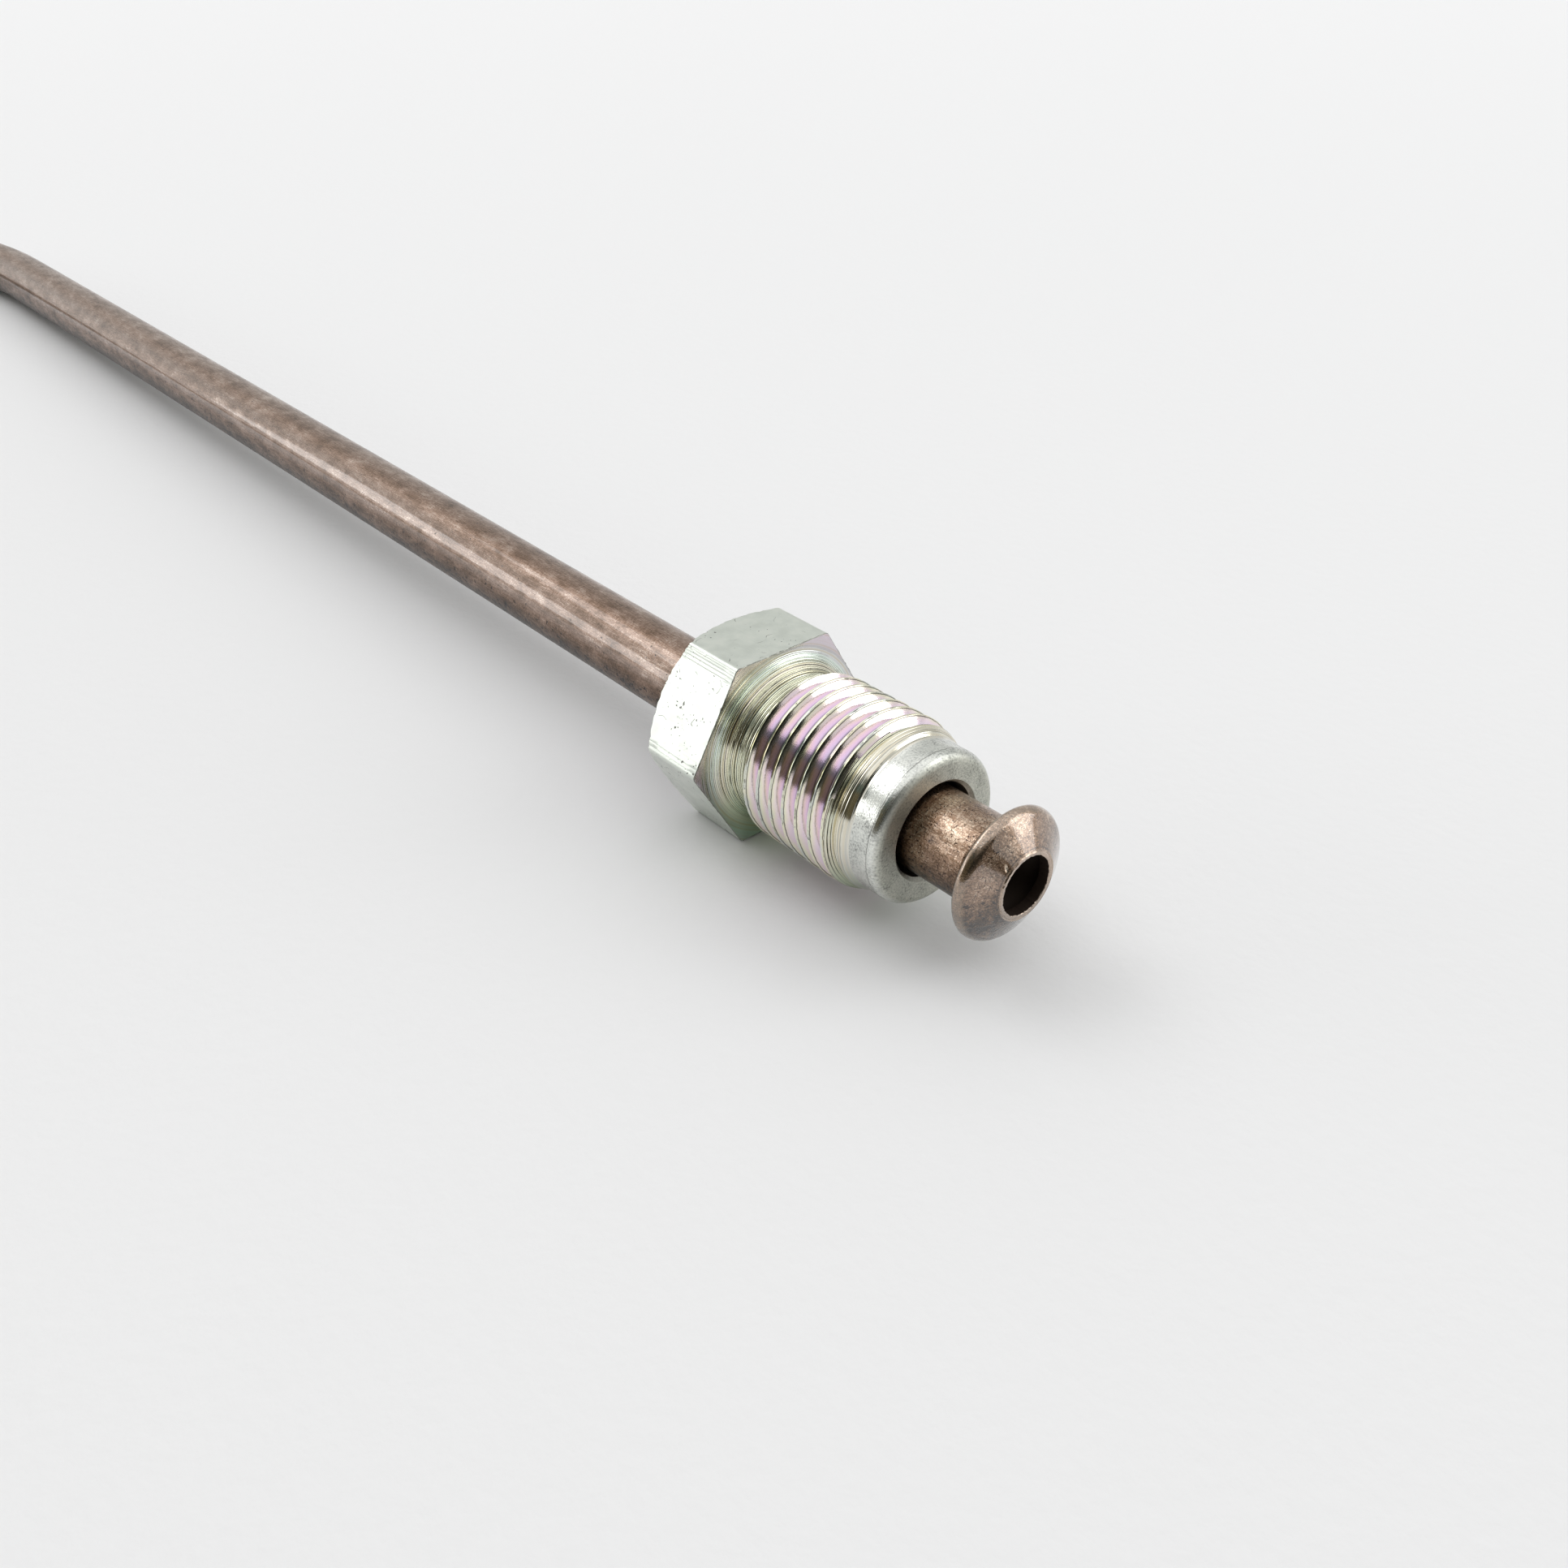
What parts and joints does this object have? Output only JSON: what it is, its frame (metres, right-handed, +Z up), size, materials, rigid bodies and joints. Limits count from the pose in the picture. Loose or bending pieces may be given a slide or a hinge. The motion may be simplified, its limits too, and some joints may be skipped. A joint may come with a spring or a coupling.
{
  "type": "brake line",
  "caption": "Short rigid hydraulic brake pipe with one bend, a bubble flare at each end and loose threaded tube nuts.",
  "frame": {"origin": "bottom centre of the line's box, on the surface it lies on", "axes": "+Z up; the front flare points along -Y, and the rear flare along -X"},
  "size_m": [0.1164, 0.1964, 0.0112],
  "materials": {
    "pipe_metal": "drawn copper-nickel, dull and scratched",
    "nut_metal": "turned, bright zinc plated with a rainbow passivation"
  },
  "bodies": {
    "pipe": {"brake_pipe": "pipe_metal"},
    "front_nut": {"tube_nut_front": "nut_metal"},
    "rear_nut": {"tube_nut_rear": "nut_metal"}
  },
  "joints": [
    {"name": "front_nut_slide", "type": "slide", "parent": "pipe", "child": "front_nut", "axis": [0.0006, -0.9997, 0.0241], "range_m": [-0.1171, 0.0041]},
    {"name": "rear_nut_slide", "type": "slide", "parent": "pipe", "child": "rear_nut", "axis": [-0.9989, 0.0006, 0.0461], "range_m": [-0.0371, 0.0041]}
  ]
}
